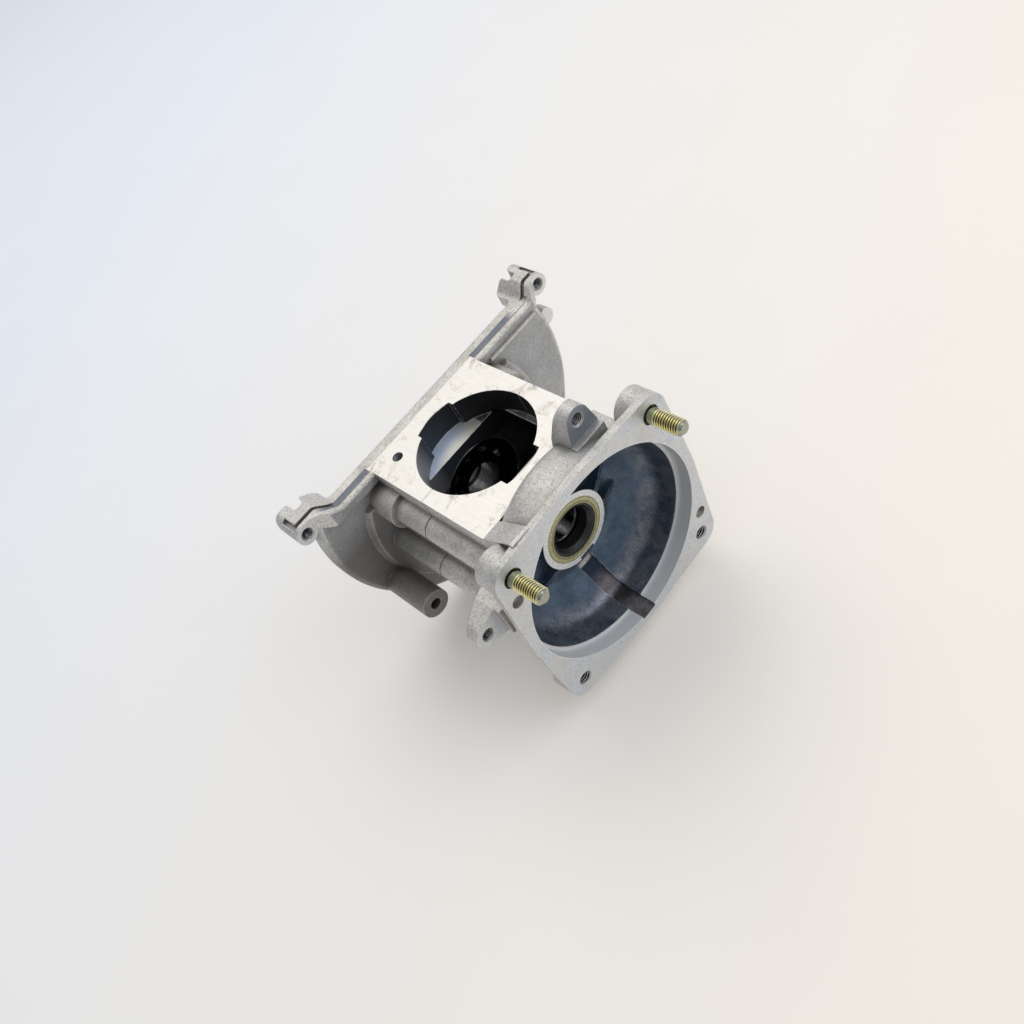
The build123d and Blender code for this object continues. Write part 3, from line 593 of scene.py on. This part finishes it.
def case_material():
    """Die-cast aluminium with its milled and turned faces, each where it lies in the case."""
    g = material_graph("case_cast_aluminium")
    on = case_regions(g)
    pattern = case_patterns(g, on)

    cast_edge = g.softened(CAST_EDGE, 6)
    cut_edge = g.softened(CUT_EDGE, 4)
    rounded = g.mix("VECTOR", g.largest(on.machined, on.bell), cast_edge, cut_edge)
    edge = g.ramp(g.dot(cast_edge, on.true_normal), 0.995, 0.86)
    # Painted shade in corners, where little light reaches; none in the throat
    corners = g.ramp(g.openness(CORNER_REACH), 0.35, 0.95, start=1.0, end=0.0)
    corners = g.times(corners, g.outside(on.throat))
    # Edges that get a painted highlight, partly real wear
    edge_wear_and_highlight = g.times(edge, g.ramp(g.noise(500, 4, 0.7), 0.35, 0.6), g.outside(corners))

    # Painted shade in the crank chamber
    chamber_shade = g.blend(g.ramp(pattern.patches, *MIDDLE), CHAMBER_LOW, CHAMBER_HIGH)
    colour = cast_skin(g, on, pattern, corners)
    # Painted shade and bluish painted reflection inside the bell
    colour = g.paint(colour, bell_skin(g, on, pattern), on.bell)
    colour = g.paint(colour, chamber_shade, on.chamber)
    colour = g.paint(colour, throat_skin(g, on), on.throat)
    colour = g.paint(colour, ledge_skin(g, on, pattern), on.ledge)
    colour = g.paint(colour, flange_skin(g, on, pattern), g.largest(on.flange, on.ear_face))
    colour = g.paint(colour, deck_skin(g, on, pattern), on.deck)
    colour = g.paint(colour, g.blend(pattern.lathe, LATHE_LOW, LATHE_HIGH), on.turned)
    colour = g.paint(colour, drain_skin(g, on, pattern), on.drain, 0.95)
    # Painted highlight along edges, partly real wear
    colour = g.paint(colour, EDGE_WEAR_AND_HIGHLIGHT, edge_wear_and_highlight, 0.8)

    rough = g.plus(g.ramp(pattern.grain, *MIDDLE, start=0.44, end=0.66),
                   g.times(on.machined, -0.08),
                   g.times(g.largest(on.bell, on.chamber), -0.16),
                   g.times(edge_wear_and_highlight, -0.12))

    skin = g.plus(g.times(pattern.grain, 0.55), g.times(g.noise(800, 5, 0.7), 0.75))
    height = g.plus(g.times(skin, g.outside(on.machined), g.outside(g.times(on.bell, 0.55))),
                    g.times(pattern.lines, on.milled, 0.10),
                    g.times(pattern.lathe, on.turned, 0.2))
    surface = g.bump(height, 0.20 * MM, 0.6, rounded)

    bright_walls = g.largest(on.ledge, g.times(on.register, 0.7))
    metallic = g.math("SUBTRACT", 0.7, g.times(bright_walls, 0.6))
    return g.finish(colour, rough, surface, metallic)


def metal_material(name, low, high, roughness, grain_height):
    """Plain metal between two tones, with fine grain in its colour, roughness and surface."""
    g = material_graph(name)
    tone = g.noise(900, 4, 0.6)
    colour = g.blend(g.ramp(tone, *MIDDLE), low, high)
    rough = g.ramp(g.noise(540, 3, 0.6), *MIDDLE, start=roughness - 0.06, end=roughness + 0.08)
    return g.finish(colour, rough, g.bump(tone, grain_height, 0.6))


def rubber_material():
    """Moulded black rubber with a dull sheen and dust."""
    g = material_graph("seal_rubber_black")
    colour = g.paint(RUBBER, RUBBER_DUST, g.ramp(g.noise(700, 5, 0.7), 0.55, 0.8, end=0.35))
    rough = g.ramp(g.noise(500, 3, 0.6), *MIDDLE, start=0.28, end=0.45)
    surface = g.bump(g.noise(1500, 3, 0.6), FINE_GRAIN, 0.5)
    return g.finish(colour, rough, surface, metallic=0.0)


def seal_case_material():
    """Olive-passivated pressed steel, dark along its outer seam, with painted shade towards the
    lip and a painted highlight line in it.
    """
    g = material_graph("seal_case_olive_metal")
    x, _, z = g.xyz(g.place)
    radius = g.length(x, z)
    tone = g.noise(900, 4, 0.6)
    inner = g.ramp(radius, *SEAL_SHADE_FADE)
    seal_highlight_line = g.at(radius, SEAL_HIGHLIGHT_R, SEAL_HIGHLIGHT_HALF)
    seam = g.ramp(radius, *SEAL_SEAM_FADE)
    colour = g.blend(g.ramp(tone, *MIDDLE), OLIVE_LOW, OLIVE_HIGH)
    # Painted shade towards the lip, left out along a painted highlight line
    colour = g.paint(colour, OLIVE_INNER_SHADE, g.times(inner, g.outside(seal_highlight_line)), 0.75)
    colour = g.paint(colour, OLIVE_SEAM, seam, 0.85)
    rough = g.ramp(g.noise(500, 3, 0.6), *MIDDLE, start=0.26, end=0.40)
    return g.finish(colour, rough, g.bump(tone, FINE_GRAIN, 0.6), metallic=0.8)


def gasket_material():
    """Grey fibre paper, milled level and bright where it shows in the deck."""
    g = material_graph("gasket_fibre_paper")
    _, _, z = g.xyz(g.place)
    fibre = g.noise(1.0, 4, 0.7, where=g.stretched(1500, 1500, 4000))
    smeared = g.paint(PAPER_SMEARED, PAPER_DIRT, g.ramp(g.noise(300, 4, 0.7), 0.52, 0.62))
    colour = g.paint(g.blend(fibre, PAPER_LOW, PAPER_HIGH), smeared, g.over(z, DECK_Z - NEAR))
    rough = g.ramp(fibre, 0.2, 0.8, start=0.6, end=0.85)
    return g.finish(colour, rough, g.bump(fibre, 0.05 * MM, 0.6), metallic=0.0)


def zinc_material():
    """Yellow-passivated zinc: gold to olive on the crests, with painted shade in the thread's
    roots.
    """
    g = material_graph("stud_yellow_zinc")
    x, y, z = g.xyz(g.place)
    root_shade = g.times(g.ramp(g.length(x, z), *STUD_ROOT_FADE), g.under(y, -STUD_COLLAR))
    colour = g.blend(g.ramp(g.noise(200, 3, 0.5), 0.35, 0.65), ZINC_LOW, ZINC_HIGH)
    colour = g.paint(colour, ZINC_GREEN, g.ramp(g.noise(330, 3, 0.5), 0.55, 0.7, end=0.6))
    colour = g.paint(colour, ZINC_COLLAR, g.over(y, -STUD_COLLAR))
    # Painted shade in the thread's roots
    colour = g.paint(colour, ZINC_ROOT_SHADE, root_shade, 0.93)
    colour = g.paint(colour, ZINC_END, g.under(y, STUD_END), 0.7)
    rough = g.ramp(g.noise(1200, 4, 0.6), *MIDDLE, start=0.15, end=0.28)
    return g.finish(colour, rough, g.bump(g.noise(2200, 4, 0.6), FINE_GRAIN, 0.4))


def tapped_material(name, drill_r):
    """Bright crests of a thread cut in a hole of a drill's radius, with painted shade in its
    roots and deeper in the hole.
    """
    g = material_graph(name)
    x, y, z = g.xyz(g.place)
    root_shade = g.ramp(g.length(x, z), *(drill_r + offset for offset in TAPPED_ROOT_FADE))
    deep_shade = g.ramp(y, *TAPPED_DEEP_FADE)
    tone = g.noise(900, 3, 0.6)
    # Painted shade in the thread's roots and deeper in the hole
    colour = g.paint(g.blend(tone, TAPPED_LOW, TAPPED_HIGH), TAPPED_SHADE, g.largest(root_shade, deep_shade))
    rough = g.ramp(tone, *MIDDLE, start=0.26, end=0.40)
    return g.finish(colour, rough, g.bump(tone, FINE_GRAIN, 0.4))


MATERIALS = {
    "cast_aluminium": case_material(),
    "gasket_paper": gasket_material(),
    "yellow_zinc": zinc_material(),
    "seal_metal": seal_case_material(),
    "seal_rubber": rubber_material(),
}
for slot, look in METALS.items():
    MATERIALS[slot] = metal_material(*look)

for entry in frame["record"]["subparts"]:
    node = frame["nodes"][entry["node"]]
    node.data.materials.clear()
    node.data.materials.append(MATERIALS[entry["material_slot"]])


def show(name, data):
    """Object of the scene that holds a mesh, a lamp or a camera."""
    holder = bpy.data.objects.new(name, data)
    bpy.context.scene.collection.objects.link(holder)
    return holder


def mesh_object(name, points, faces, material):
    """Mesh piece from points and faces."""
    mesh = bpy.data.meshes.new(name)
    mesh.from_pydata(points, [], faces)
    mesh.materials.append(material)
    mesh.update()
    return show(name, mesh)


def smooth(polygons):
    for polygon in polygons:
        polygon.use_smooth = True


def ring(y, sides, radius_at):
    """Points around Y at one station, the radius given by a function of the share of a turn."""
    points = []
    for index in range(sides):
        angle = 2 * pi * index / sides
        radius = radius_at(index / sides)
        points.append((radius * cos(angle), y, radius * sin(angle)))
    return points


def around(sides):
    """Each place on a ring with the next one."""
    return [(index, (index + 1) % sides) for index in range(sides)]


def thread_height(phase):
    """Height of a rolled thread over one pitch, from 0 in the root to 1 on the crest."""
    half_crest, flank = 0.16, 0.68
    from_crest = abs((phase % 1.0) - 0.5) * 2
    if from_crest < half_crest:
        return 1.0
    return max(0.0, 1.0 - (from_crest - half_crest) / flank)


def turned_bar(name, stations, sides, radius_at, material):
    """Closed round bar along -Y from a function of station and turn that gives each radius."""
    points = []
    for station in stations:
        points += ring(-station, sides, lambda turn, station=station: radius_at(station, turn))
    faces = []
    for start in range(0, (len(stations) - 1) * sides, sides):
        for index, after in around(sides):
            a, b = start + index, start + after
            faces.append((a, a + sides, b + sides, b))
    last = (len(stations) - 1) * sides
    faces.append(tuple(range(sides)))
    faces.append(tuple(last + index for index in reversed(range(sides))))
    piece = mesh_object(name, points, faces, material)
    smooth(piece.data.polygons[:-2])
    return piece


def flange_stud(name, corner_x):
    """M6 stud with its rolled thread, a plain collar at the flange and a chamfered end."""
    low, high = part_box(name)
    reach = FLANGE_Y - low[1]
    depth = high[1] - FLANGE_Y

    def radius_at(station, turn):
        if station < STUD_COLLAR:
            return STUD_NECK_R
        crest = STUD_R - max(0.0, station - (reach - STUD_CHAMFER))
        fade = min(1.0, (station - STUD_COLLAR) / STUD_FADE)
        height = thread_height(station / M6_PITCH - turn)
        ridge = STUD_ROOT_R + (STUD_R - STUD_ROOT_R) * height
        return min(crest, STUD_NECK_R + (ridge - STUD_NECK_R) * fade)

    stations = [-depth + (reach + depth) * row / STUD_ROWS for row in range(STUD_ROWS + 1)]
    piece = turned_bar(name + "_thread", stations, STUD_SIDES, radius_at,
                       MATERIALS["yellow_zinc"])
    piece.location = (corner_x, FLANGE_Y, (low[2] + high[2]) / 2)
    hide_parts(name)
    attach(piece, "case")


def tapped_thread(name, place, turn, radius, pitch, start, end, material):
    """Thread ridges standing in a drilled hole: a sleeve whose inside is the screw's track."""
    sides = TAPPED_SIDES
    rows = int((end - start) / (pitch / TAPPED_ROWS_A_TURN))
    points = []
    for row in range(rows + 1):
        station = start + (end - start) * row / rows

        def inner_radius(share, station=station):
            ridge = TAPPED_DEPTH * pitch * thread_height(station / pitch - share)
            return radius - ridge - TAPPED_GAP

        points += ring(station, sides, inner_radius)
    last = rows * sides
    near = last + sides
    far = near + sides
    points += ring(start, sides, lambda share: radius) + ring(end, sides, lambda share: radius)
    faces = []
    for first in range(0, last, sides):
        for index, after in around(sides):
            a, b = first + index, first + after
            faces.append((a, b, b + sides, a + sides))
    for index, after in around(sides):
        faces.append((near + index, far + index, far + after, near + after))
        faces.append((index, near + index, near + after, after))
        faces.append((last + after, far + after, far + index, last + index))
    piece = mesh_object(name, points, faces, material)
    smooth(piece.data.polygons)
    piece.matrix_world = Matrix.Translation(place) @ turn
    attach(piece, "case")


for side_name, corner_x in CORNERS:
    flange_stud("stud_" + side_name, corner_x)

TAPPED_M5 = tapped_material("tapped_m5", M5_DRILL_R)
TAPPED_M6 = tapped_material("tapped_m6", M6_DRILL_R)

# A hole opens towards -Y or +Z: the turn that points its sleeve into the case
INWARD = {-1: Matrix.Identity(4), 1: Matrix.Rotation(radians(-90), 4, "X")}

for mount in frame["record"]["mounts"]:
    if mount["kind"] == "threaded_hole":
        axis = Vector(mount["axis"])
        length = mount["dims"]["length_mm"] * MM
        mouth = Vector(mount["pos_m"]) + axis * length / 2
        tapped_thread(mount["name"] + "_thread", mouth, INWARD[round(axis.y + axis.z)],
                      mount["dims"]["r_mm"] * MM, M5_PITCH, M5_START, length, TAPPED_M5)

for side_name, corner_x in CORNERS:
    mouth = Vector((corner_x, FLANGE_Y, -CORNER))
    tapped_thread("flange_tapped_" + side_name, mouth, INWARD[-1],
                  M6_DRILL_R, M6_PITCH, M6_START, M6_END, TAPPED_M6)


def floor_material():
    """Pale table top, warm to cool, lifted towards white where the camera or a gloss sees it."""
    g = material_graph("table_pale")
    cool_side = g.dot(g.place, TABLE_AWAY)
    colour = g.blend(g.ramp(cool_side, *TABLE_FADE), TABLE_WARM, TABLE_COOL)
    colour = g.paint(colour, TABLE_MOTTLE, g.ramp(g.noise(14, 3, 0.5), *MIDDLE, end=0.06))
    path = g.add("LightPath").outputs
    seen = g.largest(path["Is Camera Ray"], path["Is Glossy Ray"])
    return g.finish(colour, 0.75, metallic=0.0, glow=g.times(seen, TABLE_LIFT))


def floor():
    """Flat floor under the whole object, wide enough to fill the picture."""
    low, half = cad_box[0][2], TABLE_HALF
    corners = [(-half, -half, low), (half, -half, low), (half, half, low), (-half, half, low)]
    piece = mesh_object("floor", corners, [(0, 1, 2, 3)], floor_material())


def world():
    """Soft surround, bright high on the right and dim opposite, pale where the camera looks."""
    sky = bpy.data.worlds.new("studio")
    bpy.context.scene.world = sky
    g = Graph(sky)
    brightness = g.dot(g.coordinates["Generated"], SKY_BRIGHTEST)
    strength = g.ramp(brightness, *SKY_FADE, start=SKY_DIM, end=SKY_BRIGHT)
    colour = g.blend(g.ramp(brightness, *SKY_FADE), SKY_COOL, SKY_WARM)
    backdrop = g.times(g.add("LightPath").outputs["Is Camera Ray"], BACKDROP)
    background = g.filled(g.add("Background"), colour, g.largest(backdrop, strength))
    g.filled(g.add("OutputWorld"), background.outputs[0])


def lamp(name, place, size, power, colour):
    """Soft square lamp that faces the middle of the part."""
    light = bpy.data.lights.new(name, "AREA")
    light.shape = "SQUARE"
    light.size = size
    light.energy = power
    light.color = colour
    holder = show(name, light)
    holder.location = place
    holder.rotation_euler = (-Vector(place)).to_track_quat("-Z", "Y").to_euler()


def camera():
    """Camera at the photograph's viewpoint."""
    back = Vector(CAMERA_BACK).normalized()
    up = back.cross(Vector(CAMERA_RIGHT).normalized()).normalized()
    axes = Matrix((up.cross(back), up, back)).transposed().to_4x4()
    data = bpy.data.cameras.new("camera")
    data.sensor_width = SENSOR_MM
    data.lens = FOCAL_PIXELS * SENSOR_MM / PICTURE_PIXELS
    data.clip_start = NEAREST_SEEN
    data.clip_end = FARTHEST_SEEN
    holder = show("camera", data)
    holder.matrix_world = Matrix.Translation(Vector(CAMERA_PLACE) * MM) @ axes
    bpy.context.scene.camera = holder


floor()
world()
for settings in LAMPS:
    lamp(*settings)
camera()
bpy.context.scene.view_settings.view_transform = "Standard"
